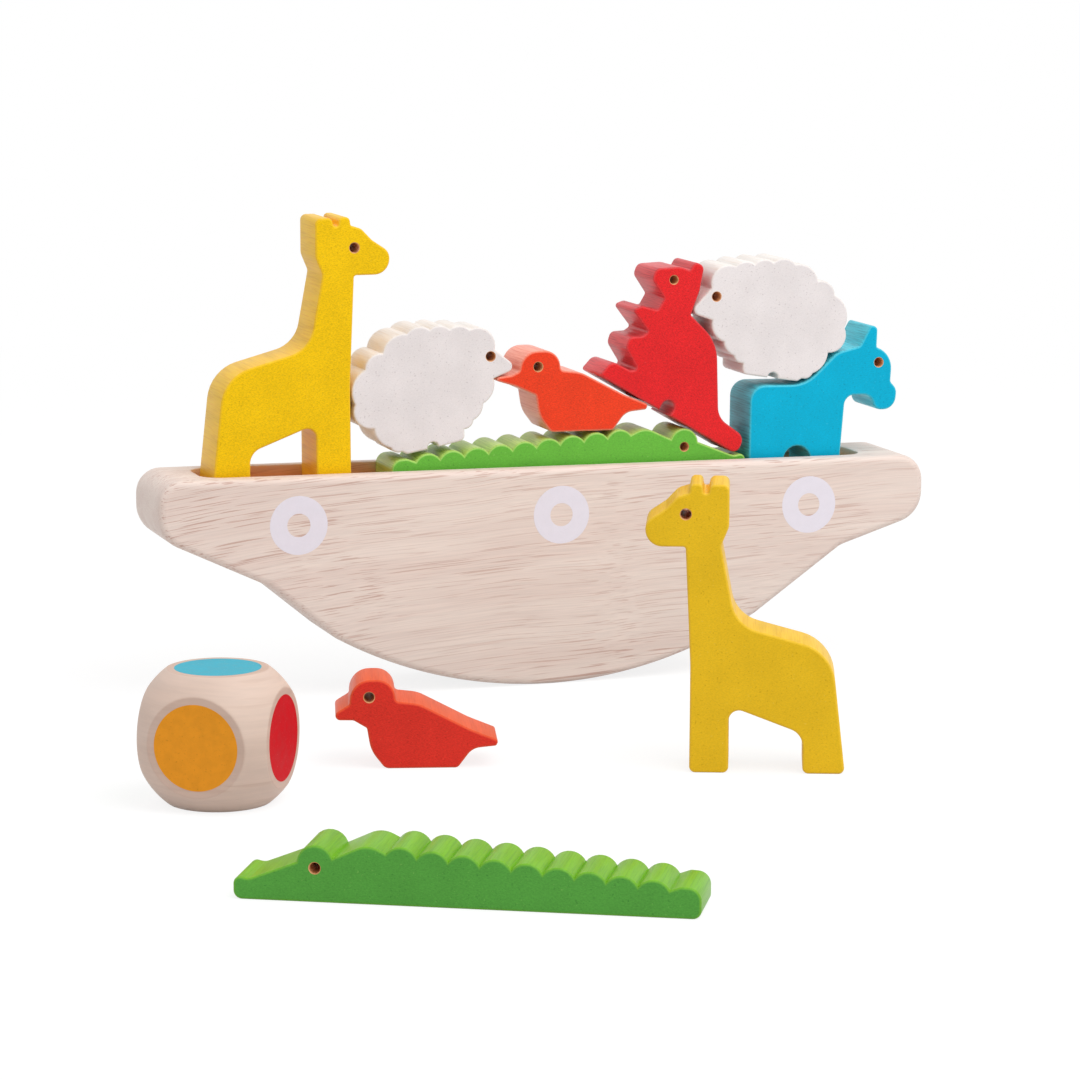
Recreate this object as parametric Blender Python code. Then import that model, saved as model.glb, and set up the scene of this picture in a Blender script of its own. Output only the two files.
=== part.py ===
"""A wooden balancing boat toy: a rocking hull with a tray, ten flat animals and a colour die.

Seven animals are stacked in the boat; three animals and the die stand on the table in front of it.
Tables are in millimetres and the scene is in metres.
X runs along the boat, Y points away from the viewer and Z is up; the keel touches the table at Z = 0.
"""

import math

import bmesh
import bpy
from mathutils.geometry import tessellate_polygon

MM = 0.001

# Shared stock and finishing sizes
SLAB = 22.0
SLAB_EDGE = 0.8
EYE_SIDES = 12
GAP = 0.3
ARC_STEP = math.radians(24.0)
ARC_CHORD = 6.5
EDGE_STEPS = 2
SHARP_ANGLE = math.radians(40.0)
PAINT_ROUGHNESS = 0.55
WOOD_ROUGHNESS = 0.6

# Boat hull
HULL_WIDTH = 40.0
HULL_EDGE = 2.5
HULL_EDGE_STEPS = 3
RIM_HEIGHT = 81.6
HULL_LEFT = -152.0
HULL_RIGHT = 147.0
KEEL_RADIUS = 165.0
KEEL_X = -4.7
KEEL_STEP = math.radians(4.0)
KEEL_FACETS = 8
TRAY_LEFT = -134.0
TRAY_RIGHT = 124.8
TRAY_WIDTH = 27.0
TRAY_FLOOR = 75.8
TRAY_CORNER = 8.0
CUTTER_RISE = 10.0

# Colour die
DIE_SIZE = 44.5
DIE_FLAT_RADIUS = 16.7
DIE_SPOKES = 24
DIE_BANDS = 2
DIE_WELD = 1e-6

# Each corner is (x, z, radius) or (x, z, radius, rise), where rise is the height of an outward arc
# that runs from this corner to the next one. Corners go round counter-clockwise, seen from the front.
GIRAFFE = [
    (-26.7, 0.0, 2.0),
    (-12.4, 0.0, 2.0),
    (-12.4, 13.6, 6.0),
    (12.5, 23.0, 3.5),
    (12.5, 0.0, 2.0),
    (25.7, 0.0, 2.0),
    (25.5, 36.8, 90.0),
    (27.3, 77.1, 1.0),
    (40.8, 77.1, 5.7),
    (40.8, 85.4, 4.5),
    (34.2, 89.8, 6.0),
    (30.1, 94.1, 4.0),
    (26.2, 95.3, 0.8),
    (25.7, 98.4, 1.7),
    (21.9, 98.4, 1.5),
    (21.4, 95.1, 0.9),
    (19.8, 95.1, 0.9),
    (19.0, 98.2, 1.9),
    (12.8, 98.2, 2.2),
    (12.8, 83.9, 5.0),
    (15.4, 77.6, 2.5),
    (10.3, 50.6, 12.0),
    (-22.0, 41.9, 15.0),
]
GIRAFFE_EYE = (27.4, 87.2, 1.8)
TABLE_GIRAFFE_EYE = (27.3, 88.2, 1.8)

BIRD = [
    (11.6, 0.0, 2.0),
    (16.6, 6.6, 6.0),
    (24.7, 7.4, 1.0),
    (25.6, 9.3, 1.1),
    (16.0, 13.2, 30.0),
    (-1.4, 22.2, 12.0),
    (-9.2, 23.1, 1.4),
    (-10.3, 30.6, 6.2),
    (-24.4, 30.6, 7.0),
    (-25.0, 22.2, 1.2),
    (-33.6, 16.9, 1.6),
    (-23.6, 16.7, 2.0),
    (-19.1, 14.0, 0.9),
    (-17.8, 6.2, 12.0),
    (-13.0, 0.0, 3.0),
]
BIRD_EYE = (-18.3, 24.7, 1.75)

# The bird in the boat has the longer beak of the two
LONG_BEAK = [
    (-25.6, 23.2, 1.6),
    (-28.4, 21.8, 3.0),
    (-37.3, 20.7, 0.85),
    (-27.0, 17.6, 6.0),
]
BEAK_ROWS = slice(9, 12)

SHEEP = [
    (-10.2, 0.0, 1.6),
    (-2.2, 0.0, 0.0, -2.2),
    (2.2, 0.0, 0.0),
    (12.5, 0.2, 2.2),
    (13.0, 4.2, 0.0, 0.9),
    (17.1, 6.7, 0.0, 1.0),
    (22.0, 12.0, 0.0, 1.8),
    (27.6, 20.3, 0.0),
    (37.5, 22.2, 2.2),
    (30.0, 30.8, 0.0, 3.9),
    (21.7, 40.3, 0.0, 1.4),
    (14.2, 42.0, 0.0, 1.5),
    (6.7, 43.5, 0.0, 1.8),
    (-2.3, 43.9, 0.0, 2.3),
    (-12.5, 38.8, 0.0, 2.0),
    (-20.2, 34.2, 0.0, 2.8),
    (-26.2, 22.4, 0.0, 3.4),
    (-21.0, 12.1, 0.0, 1.5),
    (-16.0, 3.6, 0.0, 0.9),
    (-11.9, 1.3, 0.0),
]
SHEEP_EYE = (27.8, 28.7, 1.75)
UPPER_SHEEP_EYE = (27.6, 28.0, 1.75)

# The sheep on the donkey has the lower chin of the two
LOW_CHIN = [
    (21.9, 11.4, 0.0, 1.8),
    (27.8, 18.9, 0.0),
    (37.2, 20.9, 2.2),
]
CHIN_ROWS = slice(6, 9)

KANGAROO = [
    (-31.6, 0.0, 1.0),
    (-4.0, 0.0, 0.0),
    (-4.0, 2.6, 0.0, -2.5),
    (1.0, 2.6, 0.0),
    (1.0, 0.0, 0.0),
    (32.2, 0.0, 2.8),
    (32.0, 7.3, 4.0),
    (18.6, 8.6, 8.0),
    (3.3, 33.1, 17.0),
    (-11.2, 36.8, 1.0),
    (-12.7, 46.4, 8.0),
    (-15.8, 55.2, 2.4),
    (-20.1, 54.9, 2.0),
    (-20.1, 51.0, 0.9),
    (-24.0, 50.5, 8.0),
    (-32.3, 45.2, 2.8),
    (-31.6, 41.0, 2.6),
    (-23.7, 37.1, 1.2),
    (-23.7, 32.0, 1.2),
    (-30.0, 30.5, 2.2),
    (-32.7, 27.4, 1.2),
    (-22.8, 23.3, 1.0),
    (-24.0, 20.8, 1.5),
    (-28.6, 17.8, 2.4),
    (-27.6, 13.6, 3.0),
    (-19.2, 9.1, 1.1),
    (-21.6, 7.3, 1.5),
    (-30.0, 7.0, 3.2),
]
KANGAROO_EYE = (-24.0, 44.9, 1.6)

DONKEY = [
    (-18.4, 0.0, 2.0),
    (-4.2, 0.0, 0.0),
    (-4.2, 3.8, 0.0, -5.4),
    (6.6, 3.8, 0.0),
    (6.6, 0.0, 0.0),
    (18.6, 0.0, 2.0),
    (20.6, 28.0, 4.0),
    (31.2, 28.0, 4.5),
    (33.0, 22.1, 3.2),
    (41.2, 21.9, 5.0),
    (41.9, 29.9, 4.0),
    (39.2, 32.6, 2.0),
    (39.8, 43.6, 8.5),
    (33.2, 46.0, 0.9),
    (33.4, 53.8, 1.8),
    (30.5, 54.6, 1.3),
    (26.2, 46.6, 2.2),
    (17.0, 44.4, 8.0),
    (4.2, 32.4, 14.0),
    (-18.3, 32.7, 6.0),
]
DONKEY_EYE = (34.0, 40.3, 1.75)

# Crocodile: belly, snout, eye bump and neck, then a row of equal scallops sinking towards the tail
CROCODILE_HEAD = [
    (-70.6, 0.0, 2.6),
    (69.0, 0.0, 2.6),
    (69.0, 7.5, 2.2),
    (64.4, 6.3, 4.0),
    (49.8, 12.0, 0.0, 4.5),
    (38.8, 13.5, 0.0),
    (28.3, 18.3, 8.0),
]
SCALLOPS = 9
SCALLOP_PITCH = 9.36
SCALLOP_DROP = 0.81
SCALLOP_RISE = 2.5
SCALLOP_START = (22.9, 15.6)
CROCODILE_TAIL = [
    (-64.6, 9.5, 3.0),
    (-70.6, 9.2, 4.0),
]
CROCODILE_EYE = (44.2, 10.4, 1.65)

# Hull ends in the same form; the keel arc joins the left end to the right end
HULL_LEFT_END = [
    (HULL_RIGHT, RIM_HEIGHT, 10.0),
    (HULL_LEFT, RIM_HEIGHT, 9.0),
    (HULL_LEFT, 60.6, 12.0),
    (-110.8, 41.6, 12.0),
]
HULL_RIGHT_END = [
    (113.8, 47.6, 10.0),
    (HULL_RIGHT, 58.5, 12.0),
]

# The loaded boat rests rocked a little towards its right end
ROCK = math.radians(0.65)

# Pieces in the boat, measured in the boat's own frame: x and z of the base, lean about Y in degrees.
# The giraffe stands plumb, so its lean undoes the rock.
IN_BOAT = {
    "giraffe_in_boat": (-103.4, TRAY_FLOOR + 2 * GAP, -math.degrees(ROCK)),
    "crocodile_in_boat": (8.2, TRAY_FLOOR + GAP, 0.0),
    "donkey_in_boat": (97.1, TRAY_FLOOR + GAP, 0.0),
    "sheep_by_giraffe": (-46.4, 89.3, -11.0),
    "bird_in_boat": (12.3, 93.7, 0.0),
    "kangaroo_in_boat": (45.7, 98.8, 29.8),
    "sheep_on_donkey": (87.8, 111.45, 8.0),
}

# Pieces on the table: x and y of the base and turn about Z in degrees
ON_TABLE = {
    "giraffe_on_table": (21.9, -175.0, -21.5),
    "bird_on_table": (-86.1, -130.5, -15.1),
    "crocodile_on_table": (-127.0, -313.6, -28.5),
    "colour_die": (-166.1, -165.9, -33.5),
}

# Paint and wood colours as seen on screen, 0 to 255
RUBBERWOOD = (228, 208, 192)
YELLOW = (236, 190, 24)
GREEN = (100, 178, 62)
BLUE = (0, 168, 206)
WHITE = (228, 221, 221)
ORANGE_RED = (230, 66, 36)
RED = (222, 38, 42)


def arc_points(cx, cz, radius, start, sweep):
    """Points on an arc, both ends included, coarse enough to keep the mesh light."""
    count = max(2, math.ceil(abs(sweep) / ARC_STEP), math.ceil(abs(sweep) * radius / ARC_CHORD))
    angles = [start + sweep * i / count for i in range(count + 1)]
    return [(cx + radius * math.cos(a), cz + radius * math.sin(a)) for a in angles]


def fillet(before, corner, after, radius):
    """The arc of this radius that rounds a corner between two straight sides."""
    inward = math.atan2(before[1] - corner[1], before[0] - corner[0])
    outward = math.atan2(after[1] - corner[1], after[0] - corner[0])
    opening = (outward - inward + math.pi) % (2 * math.pi) - math.pi
    half = abs(opening) / 2
    bisector = inward + opening / 2
    reach = radius / math.sin(half)
    cx = corner[0] + reach * math.cos(bisector)
    cz = corner[1] + reach * math.sin(bisector)
    side = math.copysign(1.0, opening)
    sweep = side * (2 * half - math.pi)
    start = inward - side * math.pi / 2
    return arc_points(cx, cz, radius, start, sweep)


def swell(first, second, rise):
    """The inner points of an arc between two corners that rises outward from its chord."""
    dx, dz = second[0] - first[0], second[1] - first[1]
    chord = math.hypot(dx, dz)
    half_angle = 2 * math.atan2(2 * rise, chord)
    radius = chord / (2 * math.sin(half_angle))
    middle = ((first[0] + second[0]) / 2, (first[1] + second[1]) / 2)
    depth = radius * math.cos(half_angle)
    cx = middle[0] - dz / chord * depth
    cz = middle[1] + dx / chord * depth
    start = math.atan2(first[1] - cz, first[0] - cx)
    return arc_points(cx, cz, abs(radius), start, 2 * half_angle)[1:-1]


def outline(corners):
    """The closed outline of a corner table as a list of (x, z) points."""
    points = []
    for i, corner in enumerate(corners):
        before, after = corners[i - 1], corners[(i + 1) % len(corners)]
        points += fillet(before, corner, after, corner[2]) if corner[2] else [corner[:2]]
        if len(corner) > 3:
            points += swell(corner, after, corner[3])
    return points


def mirrored(corners):
    """The same corner table facing the other way."""
    turned = []
    for i, corner in enumerate(corners):
        rise = corners[i - 1][3:]
        turned.append((-corner[0], corner[1], corner[2], *rise))
    return turned[::-1]


def recut(corners, rows, others):
    """A corner table with some of its rows replaced by others."""
    return corners[: rows.start] + others + corners[rows.stop :]


def crocodile():
    """Corner table of the crocodile, which faces right."""
    x, z = SCALLOP_START
    back = []
    for i in range(SCALLOPS):
        back.append((x - SCALLOP_PITCH * i, z - SCALLOP_DROP * i, 0.0, SCALLOP_RISE))
    back.append((x - SCALLOP_PITCH * SCALLOPS, z - SCALLOP_DROP * SCALLOPS, 0.0))
    return CROCODILE_HEAD + back + CROCODILE_TAIL


def hull_outline():
    """Side view of the hull: round ends, flared sides and one long keel arc with a facet underneath."""
    centre = (KEEL_RADIUS * math.cos(KEEL_STEP / 2) + KEEL_X * math.sin(ROCK)) / math.cos(ROCK)
    keel = []
    for k in range(-KEEL_FACETS, KEEL_FACETS):
        angle = (k + 0.5) * KEEL_STEP + ROCK
        x = KEEL_X + KEEL_RADIUS * math.sin(angle)
        keel.append((x, centre - KEEL_RADIUS * math.cos(angle), 0.0))
    return outline(HULL_LEFT_END + keel + HULL_RIGHT_END)


def inset(points, amount):
    """The outline moved inward by a small amount, corner by corner."""
    moved = []
    for i, (x, z) in enumerate(points):
        ax, az = points[i - 1]
        bx, bz = points[(i + 1) % len(points)]
        first, second = math.hypot(x - ax, z - az), math.hypot(bx - x, bz - z)
        nx1, nz1 = -(z - az) / first, (x - ax) / first
        nx2, nz2 = -(bz - z) / second, (bx - x) / second
        scale = amount / (1.0 + nx1 * nx2 + nz1 * nz2)
        moved.append((x + (nx1 + nx2) * scale, z + (nz1 + nz2) * scale))
    return moved


def circle(cx, cz, radius, sides):
    """A regular polygon, counter-clockwise."""
    turns = [2 * math.pi * i / sides for i in range(sides)]
    return [(cx + radius * math.cos(t), cz + radius * math.sin(t)) for t in turns]


def to_linear(value):
    """A screen colour channel, 0 to 255, as linear light."""
    share = value / 255.0
    return share / 12.92 if share <= 0.04045 else ((share + 0.055) / 1.055) ** 2.4


def add_object(name, mesh_builder, colour=None, roughness=WOOD_ROUGHNESS):
    """Link a mesh object, with its own paint if a colour is given, and put it in its place."""
    mesh = bpy.data.meshes.new(name)
    mesh_builder.to_mesh(mesh)
    mesh_builder.free()
    mesh.shade_smooth()
    mesh.set_sharp_from_angle(angle=SHARP_ANGLE)
    obj = bpy.data.objects.new(name, mesh)
    bpy.context.scene.collection.objects.link(obj)
    if colour:
        material = bpy.data.materials.new(name + "_finish")
        material.use_nodes = True
        shader = material.node_tree.nodes["Principled BSDF"]
        shader.inputs["Base Color"].default_value = [*map(to_linear, colour), 1.0]
        shader.inputs["Roughness"].default_value = roughness
        shader.inputs["Metallic"].default_value = 0.0
        mesh.materials.append(material)
    if name in IN_BOAT:
        x, z, lean = IN_BOAT[name]
        obj.location = (x * MM, 0.0, z * MM)
        obj.rotation_euler.y = math.radians(lean)
    if name in ON_TABLE:
        x, y, turn = ON_TABLE[name]
        obj.location = (x * MM, y * MM, 0.0)
        obj.rotation_euler.z = math.radians(turn)
    else:
        obj.parent = boat
    return obj


def bridge(builder, first, second):
    """Quads between two rings with the same number of points."""
    for i, corner in enumerate(first):
        builder.faces.new((first[i - 1], corner, second[i], second[i - 1]))


def slab_mesh(points, thickness, edge, steps, eye=None):
    """A flat board of this outline with rounded rims and, if given, a drilled eye right through."""
    builder = bmesh.new()
    half = thickness / 2
    profile = []
    for i in range(steps + 1):
        angle = math.pi / 2 * i / steps
        profile.append((edge * (1 - math.sin(angle)), half - edge * (1 - math.cos(angle))))
    levels = [(shift, -y) for shift, y in profile] + [(shift, y) for shift, y in profile[::-1]]
    rings = []
    for shift, y in levels:
        ring = inset(points, shift) if shift else points
        rings.append([builder.verts.new((x * MM, y * MM, z * MM)) for x, z in ring])
    for lower, upper in zip(rings, rings[1:]):
        bridge(builder, lower, upper)
    bores = []
    if eye:
        for y in (-half, half):
            hole = circle(*eye, EYE_SIDES)
            bores.append([builder.verts.new((x * MM, y * MM, z * MM)) for x, z in hole])
        bridge(builder, bores[1], bores[0])
    for end, ring in enumerate((rings[0], rings[-1])):
        loops = [ring] + ([bores[end]] if bores else [])
        flat = [vert for loop in loops for vert in loop]
        for triangle in tessellate_polygon([[vert.co for vert in loop] for loop in loops]):
            builder.faces.new([flat[index] for index in triangle])
    bmesh.ops.recalc_face_normals(builder, faces=builder.faces)
    return builder


def add_animal(name, corners, eye, colour, faces_back=False):
    """A painted flat animal; faces_back turns the cut-out to face the other way."""
    if faces_back:
        corners = mirrored(corners)
        eye = (-eye[0], eye[1], eye[2])
    builder = slab_mesh(outline(corners), SLAB, SLAB_EDGE, EDGE_STEPS, eye)
    return add_object(name, builder, colour, PAINT_ROUGHNESS)


def add_hull():
    """The hull board with the shallow tray routed into its top."""
    board = slab_mesh(hull_outline(), HULL_WIDTH, HULL_EDGE, HULL_EDGE_STEPS)
    hull = add_object("boat_hull", board, RUBBERWOOD, WOOD_ROUGHNESS)
    half = TRAY_WIDTH / 2
    corners = [
        (TRAY_LEFT, -half, TRAY_CORNER),
        (TRAY_RIGHT, -half, TRAY_CORNER),
        (TRAY_RIGHT, half, TRAY_CORNER),
        (TRAY_LEFT, half, TRAY_CORNER),
    ]
    builder = bmesh.new()
    ring = [(x * MM, y * MM) for x, y in outline(corners)]
    bottom = [builder.verts.new((x, y, TRAY_FLOOR * MM)) for x, y in ring]
    top = [builder.verts.new((x, y, (RIM_HEIGHT + CUTTER_RISE) * MM)) for x, y in ring]
    bridge(builder, bottom, top)
    builder.faces.new(bottom)
    builder.faces.new(top)
    bmesh.ops.recalc_face_normals(builder, faces=builder.faces)
    cutter = add_object("tray_cutter", builder)
    cutter.hide_render = True
    cutter.display_type = "WIRE"
    cut = hull.modifiers.new("tray", "BOOLEAN")
    cut.operation = "DIFFERENCE"
    cut.solver = "EXACT"
    cut.object = cutter
    return hull


def add_die():
    """A cube rounded by a ball, so that each face keeps a flat disc."""
    builder = bmesh.new()
    half = DIE_SIZE / 2
    ball = math.hypot(half, DIE_FLAT_RADIUS)
    tilt = math.atan2(DIE_FLAT_RADIUS, half)
    for axis in range(3):
        for side in (-1.0, 1.0):
            rings = []
            for band in range(DIE_BANDS + 1):
                ring = []
                for i in range(DIE_SPOKES):
                    turn = 2 * math.pi * i / DIE_SPOKES
                    widest = max(abs(math.cos(turn)), abs(math.sin(turn)))
                    lean = tilt + (math.atan(1 / widest) - tilt) * band / DIE_BANDS
                    spot = [0.0, 0.0, 0.0]
                    spot[axis] = side * ball * math.cos(lean)
                    spot[(axis + 1) % 3] = ball * math.sin(lean) * math.cos(turn)
                    spot[(axis + 2) % 3] = ball * math.sin(lean) * math.sin(turn)
                    ring.append(builder.verts.new((spot[0] * MM, spot[1] * MM, (spot[2] + half) * MM)))
                rings.append(ring)
            for inner, outer in zip(rings, rings[1:]):
                bridge(builder, inner, outer)
            builder.faces.new(rings[0])
    bmesh.ops.remove_doubles(builder, verts=builder.verts, dist=DIE_WELD)
    bmesh.ops.recalc_face_normals(builder, faces=builder.faces)
    return add_object("colour_die", builder, RUBBERWOOD, WOOD_ROUGHNESS)


for leftover in list(bpy.data.objects):
    bpy.data.objects.remove(leftover)

boat = bpy.data.objects.new("boat", None)
boat.rotation_euler.y = ROCK
bpy.context.scene.collection.objects.link(boat)

add_hull()
add_animal("giraffe_in_boat", GIRAFFE, GIRAFFE_EYE, YELLOW)
add_animal("crocodile_in_boat", crocodile(), CROCODILE_EYE, GREEN)
add_animal("donkey_in_boat", DONKEY, DONKEY_EYE, BLUE)
add_animal("sheep_by_giraffe", SHEEP, SHEEP_EYE, WHITE)
add_animal("bird_in_boat", recut(BIRD, BEAK_ROWS, LONG_BEAK), BIRD_EYE, ORANGE_RED)
add_animal("kangaroo_in_boat", KANGAROO, KANGAROO_EYE, RED)
add_animal("sheep_on_donkey", recut(SHEEP, CHIN_ROWS, LOW_CHIN), UPPER_SHEEP_EYE, WHITE, faces_back=True)
add_animal("giraffe_on_table", GIRAFFE, TABLE_GIRAFFE_EYE, YELLOW, faces_back=True)
add_animal("bird_on_table", BIRD, BIRD_EYE, ORANGE_RED)
add_animal("crocodile_on_table", crocodile(), CROCODILE_EYE, GREEN, faces_back=True)
add_die()
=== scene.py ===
"""Looks of a wooden balancing boat toy.

A sanded rubberwood hull with printed portholes, ten painted pressed-wood animals and a colour die
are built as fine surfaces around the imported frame, dressed in procedural finishes and set on a pale
studio floor. Tables are in millimetres and meshes in metres. X runs along the boat, Y points away
from the viewer and Z is up.
"""

import logging
import math
from dataclasses import dataclass
from enum import Enum

import bmesh
import bpy
import numpy as np
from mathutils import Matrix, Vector
from mathutils.geometry import tessellate_polygon


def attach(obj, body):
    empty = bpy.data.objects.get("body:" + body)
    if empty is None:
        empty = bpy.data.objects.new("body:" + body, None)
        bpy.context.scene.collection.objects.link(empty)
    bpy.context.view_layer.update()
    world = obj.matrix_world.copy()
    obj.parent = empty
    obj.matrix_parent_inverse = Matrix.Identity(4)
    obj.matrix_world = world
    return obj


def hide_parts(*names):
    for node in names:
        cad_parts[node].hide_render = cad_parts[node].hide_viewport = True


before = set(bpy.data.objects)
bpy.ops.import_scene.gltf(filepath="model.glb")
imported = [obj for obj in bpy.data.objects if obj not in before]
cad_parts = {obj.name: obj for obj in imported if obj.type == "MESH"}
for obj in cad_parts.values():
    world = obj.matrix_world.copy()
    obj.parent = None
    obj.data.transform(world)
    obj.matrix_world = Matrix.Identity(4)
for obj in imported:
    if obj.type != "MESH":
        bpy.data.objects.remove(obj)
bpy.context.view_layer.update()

LOG = logging.getLogger("balancing_boat")
MM = 0.001

Triple = tuple[float, float, float]
Rgb = Triple
Rgba = tuple[float, float, float, float]
Table = tuple[tuple[float, ...], ...]
Socket = bpy.types.NodeSocket

# Fineness of every surface
FILLET_STEPS = 9
SIDE_STEPS = 9
EDGE_STEPS = 6
EYE_SIDES = 28
TURN_STEPS = 96
SHARP_ANGLE = math.radians(32.0)

# Below these a side is straight, in radians, and two points are one, in millimetres
STRAIGHT = 1e-6
SAME_POINT = 1e-4

# Boards: thickness of the animals, their sanded edge and the chamfer of the drilled eye
SLAB = 22.0
SLAB_EDGE = 0.8
EYE_CHAMFER = 0.25

# Material slots: the skin of a piece, and the bare wood inside an animal's eye
SKIN_SLOT = 0
EYE_SLOT = 1

# Thickness of a printed ring or a painted dot
INK = 0.04

# The loaded boat rests rocked a little towards its right end
ROCK = math.radians(0.65)

# Heights in the boat: the tray's floor, and the base of a piece that stands a gap above it
TRAY_FLOOR = 75.8
GAP = 0.3
STAND = TRAY_FLOOR + GAP

# Each row is a corner (x, z, radius) or (x, z, radius, rise): rise is the height of an outward arc
# from this corner to the next. Rows go round counter-clockwise, seen from the front. An eye is
# (x, z, radius).
GIRAFFE: Table = (
    (-26.7, 0.0, 2.0),
    (-12.4, 0.0, 2.0),
    (-12.4, 13.6, 6.0),
    (12.5, 23.0, 3.5),
    (12.5, 0.0, 2.0),
    (25.7, 0.0, 2.0),
    (25.5, 36.8, 90.0),
    (27.3, 77.1, 1.0),
    (40.8, 77.1, 5.7),
    (40.8, 85.4, 4.5),
    (34.2, 89.8, 6.0),
    (30.1, 94.1, 4.0),
    (26.2, 95.3, 0.8),
    (25.7, 98.4, 1.7),
    (21.9, 98.4, 1.5),
    (21.4, 95.1, 0.9),
    (19.8, 95.1, 0.9),
    (19.0, 98.2, 1.9),
    (12.8, 98.2, 2.2),
    (12.8, 83.9, 5.0),
    (15.4, 77.6, 2.5),
    (10.3, 50.6, 12.0),
    (-22.0, 41.9, 15.0),
)
GIRAFFE_EYE: Triple = (27.4, 87.2, 1.8)
TABLE_GIRAFFE_EYE: Triple = (27.3, 88.2, 1.8)

BIRD: Table = (
    (11.6, 0.0, 2.0),
    (16.6, 6.6, 6.0),
    (24.7, 7.4, 1.0),
    (25.6, 9.3, 1.1),
    (16.0, 13.2, 30.0),
    (-1.4, 22.2, 12.0),
    (-9.2, 23.1, 1.4),
    (-10.3, 30.6, 6.2),
    (-24.4, 30.6, 7.0),
    (-25.0, 22.2, 1.2),
    (-33.6, 16.9, 1.6),
    (-23.6, 16.7, 2.0),
    (-19.1, 14.0, 0.9),
    (-17.8, 6.2, 12.0),
    (-13.0, 0.0, 3.0),
)
BIRD_EYE: Triple = (-18.3, 24.7, 1.75)

# The bird in the boat has the longer beak of the two
LONG_BEAK: Table = (
    (-25.6, 23.2, 1.6),
    (-28.4, 21.8, 3.0),
    (-37.3, 20.7, 0.85),
    (-27.0, 17.6, 6.0),
)
BEAK_ROWS = slice(9, 12)

SHEEP: Table = (
    (-10.2, 0.0, 1.6),
    (-2.2, 0.0, 0.0, -2.2),
    (2.2, 0.0, 0.0),
    (12.5, 0.2, 2.2),
    (13.0, 4.2, 0.0, 0.9),
    (17.1, 6.7, 0.0, 1.0),
    (22.0, 12.0, 0.0, 1.8),
    (27.6, 20.3, 0.0),
    (37.5, 22.2, 2.2),
    (30.0, 30.8, 0.0, 3.9),
    (21.7, 40.3, 0.0, 1.4),
    (14.2, 42.0, 0.0, 1.5),
    (6.7, 43.5, 0.0, 1.8),
    (-2.3, 43.9, 0.0, 2.3),
    (-12.5, 38.8, 0.0, 2.0),
    (-20.2, 34.2, 0.0, 2.8),
    (-26.2, 22.4, 0.0, 3.4),
    (-21.0, 12.1, 0.0, 1.5),
    (-16.0, 3.6, 0.0, 0.9),
    (-11.9, 1.3, 0.0),
)
SHEEP_EYE: Triple = (27.8, 28.7, 1.75)
UPPER_SHEEP_EYE: Triple = (27.6, 28.0, 1.75)

# The sheep on the donkey has the lower chin of the two
LOW_CHIN: Table = (
    (21.9, 11.4, 0.0, 1.8),
    (27.8, 18.9, 0.0),
    (37.2, 20.9, 2.2),
)
CHIN_ROWS = slice(6, 9)

KANGAROO: Table = (
    (-31.6, 0.0, 1.0),
    (-4.0, 0.0, 0.0),
    (-4.0, 2.6, 0.0, -2.5),
    (1.0, 2.6, 0.0),
    (1.0, 0.0, 0.0),
    (32.2, 0.0, 2.8),
    (32.0, 7.3, 4.0),
    (18.6, 8.6, 8.0),
    (3.3, 33.1, 17.0),
    (-11.2, 36.8, 1.0),
    (-12.7, 46.4, 8.0),
    (-15.8, 55.2, 2.4),
    (-20.1, 54.9, 2.0),
    (-20.1, 51.0, 0.9),
    (-24.0, 50.5, 8.0),
    (-32.3, 45.2, 2.8),
    (-31.6, 41.0, 2.6),
    (-23.7, 37.1, 1.2),
    (-23.7, 32.0, 1.2),
    (-30.0, 30.5, 2.2),
    (-32.7, 27.4, 1.2),
    (-22.8, 23.3, 1.0),
    (-24.0, 20.8, 1.5),
    (-28.6, 17.8, 2.4),
    (-27.6, 13.6, 3.0),
    (-19.2, 9.1, 1.1),
    (-21.6, 7.3, 1.5),
    (-30.0, 7.0, 3.2),
)
KANGAROO_EYE: Triple = (-24.0, 44.9, 1.6)

DONKEY: Table = (
    (-18.4, 0.0, 2.0),
    (-4.2, 0.0, 0.0),
    (-4.2, 3.8, 0.0, -5.4),
    (6.6, 3.8, 0.0),
    (6.6, 0.0, 0.0),
    (18.6, 0.0, 2.0),
    (20.6, 28.0, 4.0),
    (31.2, 28.0, 4.5),
    (33.0, 22.1, 3.2),
    (41.2, 21.9, 5.0),
    (41.9, 29.9, 4.0),
    (39.2, 32.6, 2.0),
    (39.8, 43.6, 8.5),
    (33.2, 46.0, 0.9),
    (33.4, 53.8, 1.8),
    (30.5, 54.6, 1.3),
    (26.2, 46.6, 2.2),
    (17.0, 44.4, 8.0),
    (4.2, 32.4, 14.0),
    (-18.3, 32.7, 6.0),
)
DONKEY_EYE: Triple = (34.0, 40.3, 1.75)

# Crocodile: belly, snout, eye bump and neck, then a row of equal scallops sinking towards the tail
CROCODILE_HEAD: Table = (
    (-70.6, 0.0, 2.6),
    (69.0, 0.0, 2.6),
    (69.0, 7.5, 2.2),
    (64.4, 6.3, 4.0),
    (49.8, 12.0, 0.0, 4.5),
    (38.8, 13.5, 0.0),
    (28.3, 18.3, 8.0),
)
SCALLOPS = 9
SCALLOP_PITCH = 9.36
SCALLOP_DROP = 0.81
SCALLOP_RISE = 2.5
SCALLOP_START = (22.9, 15.6)
CROCODILE_TAIL: Table = (
    (-64.6, 9.5, 3.0),
    (-70.6, 9.2, 4.0),
)
CROCODILE_EYE: Triple = (44.2, 10.4, 1.65)

def recut(table: Table, rows: slice, others: Table) -> Table:
    """A corner table with some of its rows replaced by others."""
    return table[: rows.start] + others + table[rows.stop :]


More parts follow.
